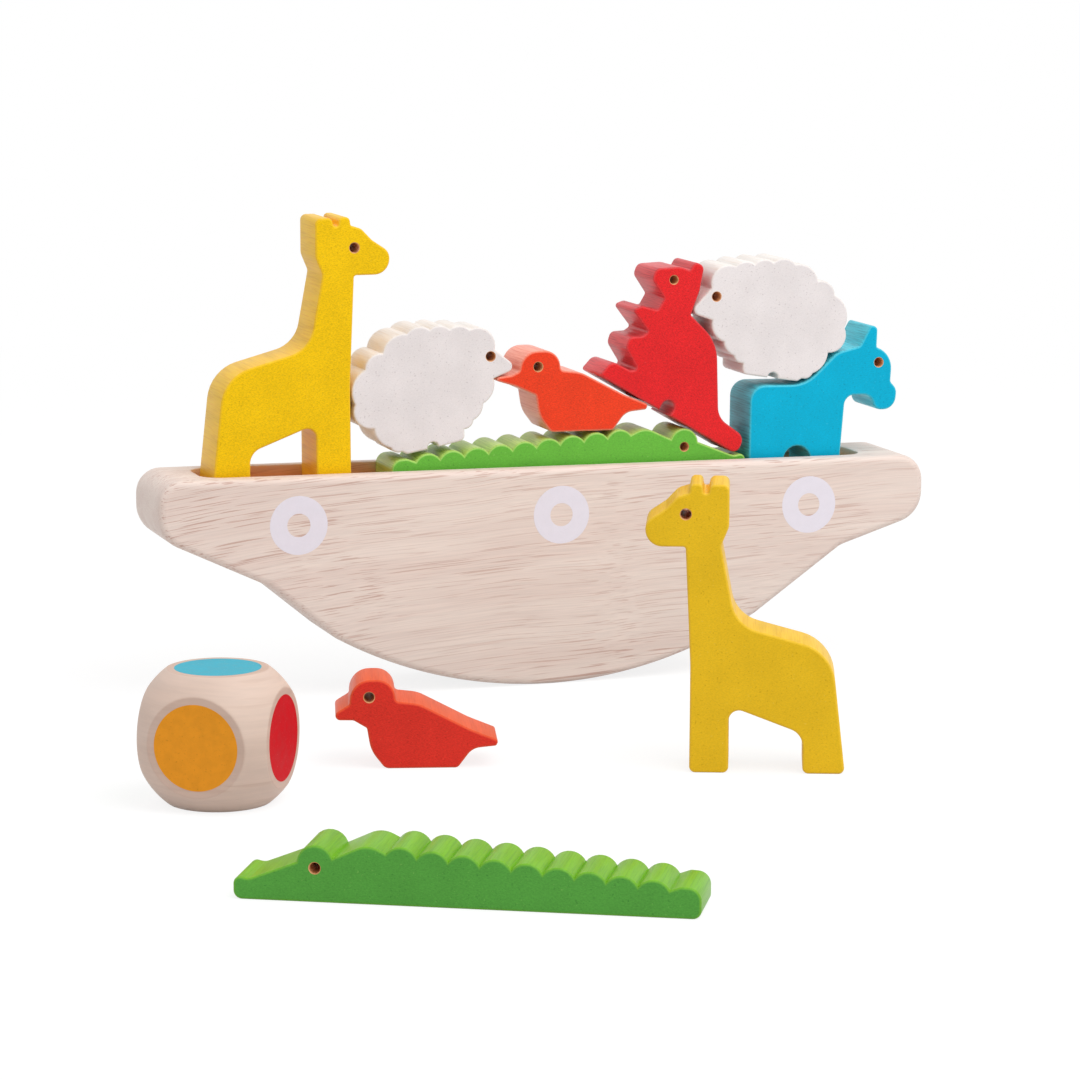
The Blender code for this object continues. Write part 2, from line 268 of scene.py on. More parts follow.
def crocodile_table() -> Table:
    """Corner table of the crocodile: scallop i starts i pitches back and i drops down.

    Returns:
        Rows of the head, the scallops and the tail.
    """
    x, z = SCALLOP_START
    starts = [(x - SCALLOP_PITCH * i, z - SCALLOP_DROP * i, 0.0) for i in range(SCALLOPS + 1)]
    back = tuple((*start, SCALLOP_RISE) for start in starts[:-1])
    return CROCODILE_HEAD + back + (starts[-1],) + CROCODILE_TAIL


class Facing(Enum):
    """Which way an animal looks, as the sign of its X axis."""

    AS_CUT = 1
    TURNED = -1


@dataclass(frozen=True)
class Place:
    """Where a piece stands: base point in millimetres, lean about Y and turn about Z in radians."""

    x: float = 0.0
    y: float = 0.0
    z: float = 0.0
    lean: float = 0.0
    turn: float = 0.0

    def to_world(self, points: np.ndarray) -> np.ndarray:
        """Lean the points about Y, turn them about Z, then add the base point.

        Args:
            points: (n, 3) points in the piece's own millimetres.

        Returns:
            (n, 3) points in metres in the frame.
        """
        sl, cl = math.sin(self.lean), math.cos(self.lean)
        st, ct = math.sin(self.turn), math.cos(self.turn)
        lean = np.array([[cl, 0.0, sl], [0.0, 1.0, 0.0], [-sl, 0.0, cl]])
        turn = np.array([[ct, -st, 0.0], [st, ct, 0.0], [0.0, 0.0, 1.0]])
        return (points @ (turn @ lean).T + (self.x, self.y, self.z)) * MM


def in_boat(x: float, z: float, lean: float = 0.0) -> Place:
    """A place in the boat's own frame carried along by the boat's rock.

    Args:
        x: Base point along the boat, in millimetres.
        z: Base point above the keel, in millimetres.
        lean: Lean about Y in degrees, against the boat.

    Returns:
        The same place in the frame.
    """
    sin, cos = math.sin(ROCK), math.cos(ROCK)
    return Place(x * cos + z * sin, 0.0, z * cos - x * sin, math.radians(lean) + ROCK)


def on_table(x: float, y: float, turn: float) -> Place:
    """A place on the table, turned about Z by degrees."""
    return Place(x, y, 0.0, 0.0, math.radians(turn))


class Spot(Enum):
    """Where the loose pieces stand: the giraffe in the boat stays upright while the boat rocks."""

    GIRAFFE = in_boat(x=-103.4, z=STAND + GAP, lean=-math.degrees(ROCK))
    CROCODILE = in_boat(x=8.2, z=STAND)
    DONKEY = in_boat(x=97.1, z=STAND)
    SHEEP = in_boat(x=-46.4, z=89.3, lean=-11.0)
    BIRD = in_boat(x=12.3, z=93.7)
    KANGAROO = in_boat(x=45.7, z=98.8, lean=29.8)
    UPPER_SHEEP = in_boat(x=87.8, z=111.45, lean=8.0)
    TABLE_GIRAFFE = on_table(x=21.9, y=-175.0, turn=-21.5)
    TABLE_BIRD = on_table(x=-86.1, y=-130.5, turn=-15.1)
    TABLE_CROCODILE = on_table(x=-127.0, y=-313.6, turn=-28.5)
    DIE = on_table(x=-166.1, y=-165.9, turn=-33.5)


# Surfaces


def saw_line(table: Table, side_steps: int = SIDE_STEPS) -> np.ndarray:
    """Closed saw line through a corner table.

    A corner of radius r is the arc about a centre on the corner's bisector, r / sin(half the opening)
    from the corner, swept by the opening less half a turn. A side of rise h and chord c is the arc of
    half angle a = 2 atan(2h / c): at share s it lies c/2 (1 + sin w / sin a) along the chord and
    c/2 (cos w - cos a) / sin a outside it, with w = a (2s - 1). A rise of zero gives the chord.

    Args:
        table: Corner rows (x, z, radius[, rise]).
        side_steps: Number of points inside each side.

    Returns:
        (n, 2) points in millimetres, counter-clockwise, without repeats.
    """
    rows = np.array([(*row, 0.0)[:4] for row in table])
    corner, radius, rise = rows[:, :2], rows[:, 2], rows[:, 3]
    back, ahead = np.roll(corner, 1, 0) - corner, np.roll(corner, -1, 0) - corner
    inward = np.arctan2(back[:, 1], back[:, 0])
    opening = np.arctan2(ahead[:, 1], ahead[:, 0]) - inward
    opening = (opening + math.pi) % (2.0 * math.pi) - math.pi
    half, hand = np.abs(opening) / 2.0, np.sign(opening)
    bisector = inward + opening / 2.0
    reach = (radius / np.sin(half))[:, None]
    centre = corner + reach * np.stack([np.cos(bisector), np.sin(bisector)], 1)
    share = np.linspace(0.0, 1.0, FILLET_STEPS)
    sweep = hand * (2.0 * half - math.pi)
    angle = (inward - hand * math.pi / 2.0)[:, None] + sweep[:, None] * share
    spoke = np.stack([np.cos(angle), np.sin(angle)], 2)
    fillet = centre[:, None, :] + radius[:, None, None] * spoke
    start, end = fillet[:, -1], np.roll(fillet[:, 0], -1, 0)
    chord = np.linalg.norm(end - start, axis=1)
    along = (end - start) / chord[:, None]
    outside = np.stack([along[:, 1], -along[:, 0]], 1)
    bend = 2.0 * np.arctan2(2.0 * rise, chord)
    bend = np.where(np.abs(bend) < STRAIGHT, STRAIGHT, bend)[:, None]
    swing = bend * np.linspace(-1.0, 1.0, side_steps + 2)[1:-1]
    run = chord[:, None] / 2.0 * (1.0 + np.sin(swing) / np.sin(bend))
    lift = chord[:, None] / 2.0 * (np.cos(swing) - np.cos(bend)) / np.sin(bend)
    side = start[:, None] + run[..., None] * along[:, None] + lift[..., None] * outside[:, None]
    points = np.concatenate([fillet, side], 1).reshape(-1, 2)
    fresh = np.linalg.norm(points - np.roll(points, 1, 0), axis=1) > SAME_POINT
    return points[fresh]


def mitre(line: np.ndarray) -> np.ndarray:
    """Inward shift of each point that moves both sides of a closed line by one unit.

    It is the sum of the two inward normals over one plus their dot product.

    Args:
        line: (n, 2) closed line, counter-clockwise.

    Returns:
        (n, 2) shifts.
    """
    step = np.roll(line, -1, 0) - line
    step /= np.linalg.norm(step, axis=1)[:, None]
    after = np.stack([-step[:, 1], step[:, 0]], 1)
    before = np.roll(after, 1, 0)
    return (before + after) / (1.0 + (before * after).sum(1))[:, None]


def rounded_rim(half: float, edge: float) -> np.ndarray:
    """Profile of a board's rim from its front face over the wall to its back face.

    Each rounded edge is a quarter circle: inset e (1 - sin a) and depth half - e (1 - cos a).

    Args:
        half: Half the thickness.
        edge: Radius of the rounded edge.

    Returns:
        (2 * EDGE_STEPS + 2, 3) rows of inset, y and a side share of 0 on a face and 1 on the wall.
    """
    angle = np.linspace(0.0, math.pi / 2.0, EDGE_STEPS + 1)
    depth = half - edge * (1.0 - np.cos(angle))
    front = np.stack([edge * (1.0 - np.sin(angle)), -depth, np.sin(angle)], 1)
    back = front[::-1] * (1.0, -1.0, 1.0)
    return np.concatenate([front, back])


def ring_quads(rings: int, count: int, first: int = 0) -> np.ndarray:
    """Quads between closed rings of points laid one after another.

    Args:
        rings: Number of rings.
        count: Points in each ring.
        first: Index of the first point.

    Returns:
        ((rings - 1) * count, 4) point indices.
    """
    ring, spot = np.mgrid[0 : rings - 1, 0:count]
    after = (spot + 1) % count
    low, high = first + ring * count, first + (ring + 1) * count
    return np.stack([low + spot, low + after, high + after, high + spot], 2).reshape(-1, 4)


def fill(points: np.ndarray, loops: list[np.ndarray]) -> list[tuple[int, ...]]:
    """Triangles of a flat region between an outer loop and any holes.

    Args:
        points: (n, 3) points.
        loops: Point indices of the outer loop, then of each hole.

    Returns:
        Triangles as point indices.
    """
    flat = np.concatenate(loops)
    found = tessellate_polygon([[Vector(spot) for spot in points[loop]] for loop in loops])
    return [tuple(int(flat[i]) for i in triangle) for triangle in found]


@dataclass
class Shell:
    """A surface on its way to a mesh: points in millimetres, faces with slots, values per point."""

    points: np.ndarray
    faces: list[tuple[int, ...]]
    slots: list[int]
    values: dict[str, np.ndarray]

    def to_object(self, name: str, place: Place) -> bpy.types.Object:
        """Place the shell in the frame and link it as a mesh with outward faces.

        Args:
            name: Name of the object.
            place: Where the shell stands.

        Returns:
            The new object, at the origin, with its place in its mesh.
        """
        mesh = bpy.data.meshes.new(name)
        mesh.from_pydata(place.to_world(self.points), [], self.faces)
        mesh.polygons.foreach_set("material_index", self.slots)
        for key, value in self.values.items():
            layer = mesh.attributes.new(key, "FLOAT", "POINT")
            layer.data.foreach_set("value", value.astype(np.float32))
        builder = bmesh.new()
        builder.from_mesh(mesh)
        bmesh.ops.recalc_face_normals(builder, faces=builder.faces)
        builder.to_mesh(mesh)
        builder.free()
        mesh.shade_smooth()
        mesh.set_sharp_from_angle(angle=SHARP_ANGLE)
        self.crease_faces(mesh)
        obj = bpy.data.objects.new(name, mesh)
        bpy.context.scene.collection.objects.link(obj)
        return obj

    def crease_faces(self, mesh: bpy.types.Mesh) -> None:
        """Crease the border of each flat face, so that it shades flat up to the rounded edge.

        Args:
            mesh: Mesh made from this shell.
        """
        flat = self.values["side"] == 0.0
        ends = np.empty(len(mesh.edges) * 2, np.int32)
        mesh.edges.foreach_get("vertices", ends)
        sharp = mesh.attributes.get("sharp_edge") or mesh.attributes.new("sharp_edge", "BOOLEAN", "EDGE")
        known = np.empty(len(mesh.edges), bool)
        sharp.data.foreach_get("value", known)
        sharp.data.foreach_set("value", known | flat[ends.reshape(-1, 2)].all(1))


def board_rings(line: np.ndarray, half: float, edge: float) -> tuple[np.ndarray, np.ndarray]:
    """Carry a rounded rim profile along a saw line: each ring is the line moved in by its inset.

    Args:
        line: (n, 2) closed saw line.
        half: Half the thickness.
        edge: Radius of the rounded edge.

    Returns:
        (rings, n, 3) points and (rings, n) side shares.
    """
    rim = rounded_rim(half, edge)
    inward = mitre(line)
    flat = line[None] + rim[:, 0, None, None] * inward[None]
    depth = np.broadcast_to(rim[:, 1, None], flat.shape[:2])
    points = np.stack([flat[..., 0], depth, flat[..., 1]], 2)
    return points, np.broadcast_to(rim[:, 2, None], flat.shape[:2])


def turned(profile: np.ndarray, steps: int = TURN_STEPS) -> np.ndarray:
    """Rings of a profile turned about Z: (r cos t, r sin t, z) for each row and angle t.

    Args:
        profile: (m, 2) rows of radius and z.
        steps: Number of points round each ring.

    Returns:
        (m, steps, 3) points.
    """
    angle = np.linspace(0.0, 2.0 * math.pi, steps, endpoint=False)
    radius, height = profile[:, 0, None], profile[:, 1, None]
    tall = np.broadcast_to(height, (len(profile), steps))
    return np.stack([radius * np.cos(angle), radius * np.sin(angle), tall], 2)


# Finishes


def linear(colour: Rgb) -> Rgba:
    """A screen colour of 0 to 255 as linear light with full alpha, by the sRGB curve.

    Args:
        colour: Red, green and blue.

    Returns:
        Linear red, green and blue, and the alpha.
    """
    share = np.array(colour) / 255.0
    light = np.where(share <= 0.04045, share / 12.92, ((share + 0.055) / 1.055) ** 2.4)
    return (*light.tolist(), 1.0)


def grey(level: float) -> Rgba:
    """A neutral linear colour with full alpha."""
    return (level, level, level, 1.0)


@dataclass(frozen=True)
class Pattern:
    """A noise of 0 to 1: stretch along each axis, features per unit, octaves and their roughness."""

    stretch: Triple = (1.0, 1.0, 1.0)
    scale: float = 1.0
    detail: float = 2.0
    rough: float = 0.5


@dataclass(frozen=True)
class Ease:
    """A smooth step that holds first up to low and last from high on."""

    low: float
    high: float
    first: float = 0.0
    last: float = 1.0

    def between(self, first: float, last: float) -> "Ease":
        """The same step between other values."""
        return Ease(self.low, self.high, first, last)


class NodeSheet:
    """A node tree and short ways to add and wire its nodes."""

    def __init__(self, tree: bpy.types.NodeTree) -> None:
        """Work on this tree."""
        self.tree = tree

    def feed(self, socket: Socket, value: object) -> None:
        """Link a socket to another socket, or set its constant.

        Args:
            socket: Input to feed.
            value: Output socket or constant.
        """
        if isinstance(value, Socket):
            self.tree.links.new(value, socket)
        else:
            socket.default_value = value

    def add(self, kind: str, inputs: dict, output: int | str = 0, **settings: object) -> Socket:
        """Add a node.

        Args:
            kind: Node type without its ShaderNode prefix.
            inputs: Socket name or number to socket or constant.
            output: Which output to return.
            **settings: Properties of the node.

        Returns:
            The chosen output socket.
        """
        node = self.tree.nodes.new("ShaderNode" + kind)
        for key, value in settings.items():
            setattr(node, key, value)
        for key, value in inputs.items():
            self.feed(node.inputs[key], value)
        return node.outputs[output]

    def local(self, place: Place, swing: float = 0.0) -> Socket:
        """Object coordinates as the piece's own millimetres.

        Args:
            place: Where the piece stands.
            swing: Extra turn about Y in radians, for grain that runs askew.

        Returns:
            The vector socket.
        """
        spot = (place.x * MM, place.y * MM, place.z * MM)
        turn = (0.0, place.lean + swing, place.turn)
        inputs = {"Location": spot, "Rotation": turn, "Scale": (MM, MM, MM)}
        inputs["Vector"] = self.add("TexCoord", {}, "Object")
        return self.add("Mapping", inputs, vector_type="TEXTURE")

    def attribute(self, name: str) -> Socket:
        """The value per point of this name."""
        return self.add("Attribute", {}, "Fac", attribute_name=name)

    def part_of(self, vector: Socket, axis: int) -> Socket:
        """The vector's share along axis 0, 1 or 2."""
        return self.add("SeparateXYZ", {0: vector}, axis)

    def stretch(self, vector: Socket, by: Triple) -> Socket:
        """The vector scaled along each axis."""
        return self.add("VectorMath", {0: vector, 1: by}, operation="MULTIPLY")

    def noise(self, vector: Socket, pattern: Pattern, output: int | str = 0) -> Socket:
        """The pattern's noise at a vector.

        Args:
            vector: Where to read the noise.
            pattern: Kind of noise.
            output: Which output to return: the value, or Color for three values.

        Returns:
            The noise socket.
        """
        inputs = {"Vector": self.stretch(vector, pattern.stretch), "Scale": pattern.scale}
        inputs |= {"Detail": pattern.detail, "Roughness": pattern.rough}
        return self.add("TexNoise", inputs, output)

    def ease(self, value: Socket, step: Ease) -> Socket:
        """The value taken through a smooth step.

        Args:
            value: Value to ease.
            step: Step to take it through.

        Returns:
            The eased value.
        """
        inputs = {"Value": value, "From Min": step.low, "From Max": step.high}
        inputs |= {"To Min": step.first, "To Max": step.last}
        return self.add("MapRange", inputs, interpolation_type="SMOOTHSTEP")

    def mix(self, share: object, first: object, second: object, blend: str = "MIX") -> Socket:
        """Two colours, inputs 6 and 7 of a Mix node, mixed by a share into its output 2."""
        inputs = {0: share, 6: first, 7: second}
        return self.add("Mix", inputs, 2, data_type="RGBA", blend_type=blend)

    def times(self, first: object, second: object) -> Socket:
        """Product of two values."""
        return self.add("Math", {0: first, 1: second}, operation="MULTIPLY")

    def most(self, first: object, second: object) -> Socket:
        """Larger of two values."""
        return self.add("Math", {0: first, 1: second}, operation="MAXIMUM")

    def tone(self, colour: object, value: Socket) -> Socket:
        """The colour made lighter or darker by a value around one."""
        return self.add("HueSaturation", {"Color": colour, "Value": value})

    def bump(self, height: Socket, depth: float, strength: float) -> Socket:
        """Normal of a relief of this depth in millimetres."""
        inputs = {"Height": height, "Distance": depth * MM, "Strength": strength}
        return self.add("Bump", inputs)


class MaterialSheet(NodeSheet):
    """The node tree of a new material, which starts with its Principled shader."""

    def __init__(self, name: str) -> None:
        """Start a material.

        Args:
            name: Name of the material.
        """
        self.material = bpy.data.materials.new(name)
        self.material.use_nodes = True
        super().__init__(self.material.node_tree)

    def finish(
        self, colour: Socket, roughness: Socket, normal: Socket, specular: float
    ) -> bpy.types.Material:
        """Wire the shader and return the material.

        Args:
            colour: Base colour socket.
            roughness: Roughness socket.
            normal: Normal socket.
            specular: Specular level.

        Returns:
            The finished material.
        """
        shader = self.tree.nodes["Principled BSDF"]
        self.feed(shader.inputs["Base Color"], colour)
        self.feed(shader.inputs["Roughness"], roughness)
        self.feed(shader.inputs["Normal"], normal)
        self.feed(shader.inputs["Specular IOR Level"], specular)
        return self.material


@dataclass(frozen=True)
class PaintedBoard:
    """Water-stained pressed wood: speckled faces, streaky sawn sides, edges of rubbed paint and painted
    highlight.

    Each stain has its own name, slot, colours and strengths; the patterns are those of every board.
    """

    name: str
    slot: str
    face: Rgb
    side: Rgb
    streak: Rgb
    fleck: Rgb
    glint: Rgb
    mottle: float
    # Share of the pale glint colour on the rounded edges: rubbed paint and painted highlight
    rub_and_highlight: float
    gloss: float
    fibre: Pattern = Pattern((0.65, 1.0, 1.4), 2.2, 2.0, 0.7)
    fibre_span: Ease = Ease(0.25, 0.75)
    cloud: Pattern = Pattern(scale=0.07)
    cloud_tone: Ease = Ease(0.3, 0.7, 0.96, 1.03)
    pits: Pattern = Pattern((1.0, 1.0, 1.3), 1.25, 1.0)
    pit_share: Ease = Ease(0.66, 0.75, 0.0, 0.5)
    sparks: Pattern = Pattern((1.2, 1.0, 1.0), 1.3, 1.0)
    spark_share: Ease = Ease(0.7, 0.8, 0.0, 0.3)
    saw: Pattern = Pattern((2.1, 0.06, 2.1), 1.0, 3.0, 0.65)
    saw_share: Ease = Ease(0.42, 0.7, 0.0, 0.62)
    wave: Pattern = Pattern((0.25, 0.03, 0.25))
    wave_tone: Ease = Ease(0.3, 0.7, 0.93, 1.06)
    rub_and_highlight_start: Ease = Ease(0.05, 0.5)
    rub_and_highlight_end: Ease = Ease(0.5, 0.98)
    sheen: Ease = Ease(0.0, 1.0, 0.58, 0.36)
    sheen_break: Ease = Ease(0.3, 0.7, 0.92, 1.08)
    relief: float = 0.06
    relief_strength: float = 0.35

    def face_colour(self, sheet: NodeSheet, local: Socket, fibre: Socket) -> Socket:
        """Colour of the flat faces: mottled and clouded, with dark pits and pale sparks.

        Args:
            sheet: Sheet to work on.
            local: The piece's own millimetres.
            fibre: Noise of the fibres.

        Returns:
            The colour socket.
        """
        mottle = sheet.ease(fibre, self.fibre_span.between(1.0 - self.mottle, 1.0 + self.mottle))
        cloud = sheet.ease(sheet.noise(local, self.cloud), self.cloud_tone)
        colour = sheet.tone(linear(self.face), sheet.times(mottle, cloud))
        pits = sheet.ease(sheet.noise(local, self.pits), self.pit_share)
        colour = sheet.mix(pits, colour, linear(self.fleck))
        sparks = sheet.ease(sheet.noise(local, self.sparks), self.spark_share)
        return sheet.mix(sparks, colour, linear(self.glint))

    def wall_colour(self, sheet: NodeSheet, local: Socket, saw: Socket) -> Socket:
        """Colour of the sawn sides: streaks across the board in broad waves.

        Args:
            sheet: Sheet to work on.
            local: The piece's own millimetres.
            saw: Noise of the saw marks.

        Returns:
            The colour socket.
        """
        streaks = sheet.ease(saw, self.saw_share)
        colour = sheet.mix(streaks, linear(self.side), linear(self.streak))
        return sheet.tone(colour, sheet.ease(sheet.noise(local, self.wave), self.wave_tone))

    def material(self, piece: str, place: Place) -> bpy.types.Material:
        """Finish for one piece: faces, sides, and rubbed paint with painted highlight where they meet.

        Args:
            piece: Name of the piece.
            place: Where it stands, so that the grain follows it.

        Returns:
            The material.
        """
        sheet = MaterialSheet(f"{piece}_{self.name}")
        local = sheet.local(place)
        side = sheet.attribute("side")
        fibre, saw = sheet.noise(local, self.fibre), sheet.noise(local, self.saw)
        face, wall = self.face_colour(sheet, local, fibre), self.wall_colour(sheet, local, saw)
        colour = sheet.mix(side, face, wall)
        # Rubbed paint and painted highlight: the rounded edges lean towards the pale glint colour
        start, end = sheet.ease(side, self.rub_and_highlight_start), sheet.ease(side, self.rub_and_highlight_end.between(self.rub_and_highlight, 0.0))
        colour = sheet.mix(sheet.times(start, end), colour, linear(self.glint))
        rough = sheet.times(sheet.ease(side, self.sheen), sheet.ease(fibre, self.sheen_break))
        normal = sheet.bump(sheet.mix(side, fibre, saw), self.relief, self.relief_strength)
        return sheet.finish(colour, rough, normal, self.gloss)


@dataclass(frozen=True)
class BareWood:
    """Sanded rubberwood: broad pale bands, fine lines and short open pores along the grain.

    The grain has its own features per millimetre along each axis. It swings by an angle in degrees,
    sways a little and arches: its height rises with arch times x squared. The tone is painted shade
    that runs straight up the piece, darker towards the bottom: from shade_foot at its lowest point to
    one at fade_top.
    """

    name: str
    pale: Rgb
    warm: Rgb
    pore: Rgb
    cut_and_shade: Rgb
    grain: Triple
    swing: float = 0.0
    arch: float = 0.0
    dashes: float = 0.6
    shade_foot: float = 1.0
    fade_top: float = 62.0
    sway: Pattern = Pattern(scale=0.012, detail=1.0)
    sway_reach: Triple = (0.0, 6.0, 6.0)
    band: Pattern = Pattern((0.3, 0.06, 0.06), 1.0, 3.0, 0.55)
    band_share: Ease = Ease(0.35, 0.65)
    line: Pattern = Pattern(detail=4.0, rough=0.62)
    line_tone: Ease = Ease(0.28, 0.72, 0.94, 1.05)
    dash: Pattern = Pattern((1.15, 1.1, 1.1), 1.0, 1.5)
    dash_span: Ease = Ease(0.57, 0.66)
    patch: Pattern = Pattern((0.01, 0.04, 0.04))
    patch_share: Ease = Ease(0.3, 0.65, 0.3, 1.0)
    end_share: Ease = Ease(0.4, 0.95, 1.0, 0.25)
    sheen: Ease = Ease(0.3, 0.7, 0.46, 0.6)
    hollow: Ease = Ease(0.55, 0.75, 1.0, 0.0)
    relief: float = 0.08
    relief_strength: float = 0.3
    gloss: float = 0.3

    def bent_grain(self, sheet: NodeSheet, local: Socket) -> Socket:
        """The piece's own millimetres, bent as the grain sways and arches.

        Args:
            sheet: Sheet to work on.
            local: The piece's own millimetres, swung with the grain.

        Returns:
            The vector socket.
        """
        along = sheet.part_of(local, 0)
        rise = sheet.add("CombineXYZ", {2: sheet.times(sheet.times(along, along), self.arch)})
        sway = sheet.noise(local, self.sway, "Color")
        inputs = {0: sway, 1: self.sway_reach, 2: local}
        swayed = sheet.add("VectorMath", inputs, operation="MULTIPLY_ADD")
        return sheet.add("VectorMath", {0: swayed, 1: rise}, operation="ADD")

    def pore_share(self, sheet: NodeSheet, bent: Socket, dash: Socket) -> Socket:
        """How much the pores show: in patches, and less on faces that look along X.

        Args:
            sheet: Sheet to work on.
            bent: The bent millimetres.
            dash: Noise of the pores.

        Returns:
            The share socket.
        """
        pores = sheet.ease(dash, self.dash_span.between(0.0, self.dashes))
        patches = sheet.ease(sheet.noise(bent, self.patch), self.patch_share)
        facing = sheet.part_of(sheet.add("NewGeometry", {}, "Normal"), 0)
        ends = sheet.add("Math", {0: facing}, operation="ABSOLUTE")
        return sheet.times(sheet.times(pores, patches), sheet.ease(ends, self.end_share))

    def material(self, piece: str, place: Place) -> bpy.types.Material:
        """Finish for one piece: bands, lines and pores, then painted shade towards the bottom and the tone
        of routed or sanded wood, partly painted shade.

        Args:
            piece: Name of the piece.
            place: Where it stands, so that the grain follows it.

        Returns:
            The material.
        """
        sheet = MaterialSheet(f"{piece}_{self.name}")
        local = sheet.local(place, math.radians(self.swing))
        bent = self.bent_grain(sheet, local)
        grain = sheet.stretch(bent, self.grain)
        bands = sheet.ease(sheet.noise(grain, self.band), self.band_share)
        line, dash = sheet.noise(grain, self.line), sheet.noise(grain, self.dash)
        colour = sheet.mix(bands, linear(self.pale), linear(self.warm))
        colour = sheet.tone(colour, sheet.ease(line, self.line_tone))
        colour = sheet.mix(self.pore_share(sheet, bent, dash), colour, linear(self.pore))
        # Painted shade: the tone darkens towards the bottom of the piece
        if self.shade_foot < 1.0:
            fade = Ease(0.0, self.fade_top, self.shade_foot, 1.0)
            colour = sheet.tone(colour, sheet.ease(sheet.part_of(local, 2), fade))
        # Routed or sanded wood's own tone, partly painted shade: darker and warmer in the tray, a little
        # darker on the die's flats
        colour = sheet.mix(sheet.attribute("cut_and_shade"), colour, linear(self.cut_and_shade), "MULTIPLY")
        normal = sheet.bump(sheet.ease(dash, self.hollow), self.relief, self.relief_strength)
        return sheet.finish(colour, sheet.ease(line, self.sheen), normal, self.gloss)


@dataclass(frozen=True)
class DotPaint:
    """Thin brushed paint on wood: fine clouding and a few specks where the wood shows."""

    name: str
    colour: Rgb
    speck: Rgb
    cloudy: float = 0.05
    specks: float = 0.4
    cloud: Pattern = Pattern(scale=0.3, detail=5.0, rough=0.62)
    cloud_span: Ease = Ease(0.3, 0.7)
    grit: Pattern = Pattern(scale=1.3, detail=1.0)
    grit_span: Ease = Ease(0.64, 0.74)
    sheen: Ease = Ease(0.3, 0.7, 0.45, 0.6)
    relief: float = 0.04
    relief_strength: float = 0.25
    gloss: float = 0.06

    def material(self, piece: str, place: Place) -> bpy.types.Material:
        """Finish for one painted spot.

        Args:
            piece: Name of the spot.
            place: Where its piece stands.

        Returns:
            The material.
        """
        sheet = MaterialSheet(f"{piece}_{self.name}")
        local = sheet.local(place)
        cloud, grit = sheet.noise(local, self.cloud), sheet.noise(local, self.grit)
        tone = sheet.ease(cloud, self.cloud_span.between(1.0 - self.cloudy, 1.0 + self.cloudy))
        specks = sheet.ease(grit, self.grit_span.between(0.0, self.specks))
        colour = sheet.mix(specks, sheet.tone(linear(self.colour), tone), linear(self.speck))
        normal = sheet.bump(cloud, self.relief, self.relief_strength)
        return sheet.finish(colour, sheet.ease(cloud, self.sheen), normal, self.gloss)


class Stain(Enum):
    """The stains of the animals: those in the boat, then darker copies as painted shade for the table."""

    YELLOW = PaintedBoard(
        "yellow", "yellow_paint", face=(248, 202, 16), side=(254, 204, 52), streak=(234, 172, 30),
        fleck=(206, 150, 10), glint=(254, 228, 100), mottle=0.17, rub_and_highlight=0.05, gloss=0.1,
    )
    GREEN = PaintedBoard(
        "green", "green_paint", face=(106, 190, 62), side=(190, 222, 110), streak=(132, 182, 66),
        fleck=(62, 136, 44), glint=(176, 222, 124), mottle=0.12, rub_and_highlight=0.3, gloss=0.32,
    )
    BLUE = PaintedBoard(
        "blue", "blue_paint", face=(0, 182, 220), side=(92, 212, 230), streak=(58, 142, 162),
        fleck=(0, 130, 170), glint=(80, 210, 232), mottle=0.09, rub_and_highlight=0.25, gloss=0.15,
    )
    WHITE = PaintedBoard(
        "white", "white_paint", face=(238, 231, 231), side=(246, 240, 235), streak=(234, 218, 204),
        fleck=(190, 178, 180), glint=(248, 245, 245), mottle=0.04, rub_and_highlight=0.1, gloss=0.25,
    )
    ORANGE = PaintedBoard(
        "orange", "orange_paint", face=(242, 64, 26), side=(254, 166, 142), streak=(226, 98, 78),
        fleck=(194, 44, 20), glint=(250, 130, 90), mottle=0.16, rub_and_highlight=0.2, gloss=0.25,
    )
    RED = PaintedBoard(
        "red", "red_paint", face=(231, 36, 40), side=(226, 74, 78), streak=(160, 32, 42),
        fleck=(172, 18, 28), glint=(246, 96, 96), mottle=0.2, rub_and_highlight=0.1, gloss=0.2,
    )
    # Painted shade: three of the stains again, darker, for the animals on the table
    SHADED_YELLOW = PaintedBoard(
        "shaded_yellow", "yellow_paint", face=(238, 193, 40), side=(244, 200, 66), streak=(232, 178, 48),
        fleck=(196, 146, 14), glint=(248, 222, 110), mottle=0.08, rub_and_highlight=0.05, gloss=0.03,
    )
    SHADED_GREEN = PaintedBoard(
        "shaded_green", "green_paint", face=(87, 164, 64), side=(120, 184, 30), streak=(96, 158, 32),
        fleck=(50, 116, 42), glint=(150, 204, 104), mottle=0.13, rub_and_highlight=0.1, gloss=0.2,
    )
    SHADED_ORANGE = PaintedBoard(
        "shaded_orange", "orange_paint", face=(224, 55, 43), side=(238, 98, 56), streak=(222, 78, 46),
        fleck=(172, 32, 22), glint=(240, 110, 76), mottle=0.14, rub_and_highlight=0.1, gloss=0.1,
    )


class DieDot(Enum):
    """The painted dots of the die, in the order of its faces: +Z, -Z, +X, -X, +Y and -Y."""

    BLUE = DotPaint("blue", (74, 178, 200), speck=(130, 202, 218))
    YELLOW = DotPaint("yellow", (238, 198, 40), speck=(246, 220, 110))
    RED = DotPaint("red", (210, 22, 34), speck=(232, 90, 94))
    GREEN = DotPaint("green", (98, 172, 66), speck=(150, 200, 120))
    WHITE = DotPaint("white", (236, 230, 230), speck=(214, 196, 184))
    ORANGE = DotPaint("orange", (240, 156, 42), speck=(190, 112, 26))


